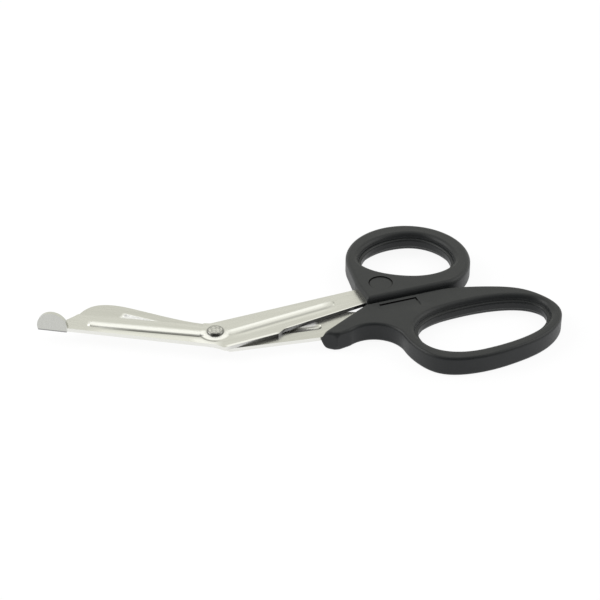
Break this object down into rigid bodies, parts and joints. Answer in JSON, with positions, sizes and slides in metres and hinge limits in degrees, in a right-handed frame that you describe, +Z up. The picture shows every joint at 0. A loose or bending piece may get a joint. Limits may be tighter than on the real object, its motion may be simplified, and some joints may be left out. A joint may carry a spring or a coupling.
{
  "type": "bandage scissors",
  "caption": "Angled bandage scissors: a guard blade with a blunt upturned foot over a humped blade, riveted, stiffening beads, and unequal black moulded loop handles.",
  "frame": {"origin": "centre of the closed scissors' plan, on the plane that the finger handle's underside rests on", "axes": "+X from the foot towards the finger loop, +Y towards the thumb loop's side, +Z up, square to the plane in which the blades slide"},
  "size_m": [0.1872, 0.087, 0.0114],
  "materials": {
    "blade_steel": "satin stainless, finely brushed along the blades",
    "rivet_steel": "turned, bright",
    "handle_plastic": "black, satin, fine moulded grain"
  },
  "bodies": {
    "finger_half": {"humped_blade": "blade_steel", "pivot_rivet": "rivet_steel", "finger_handle": "handle_plastic"},
    "thumb_half": {"guard_blade": "blade_steel", "thumb_handle": "handle_plastic"}
  },
  "joints": [
    {"name": "blade_pivot", "type": "hinge", "parent": "finger_half", "child": "thumb_half", "pos_m": [-0.03006, -0.02483, 0.00453], "axis": [0, 0, 1], "range_deg": [0, 50]}
  ]
}
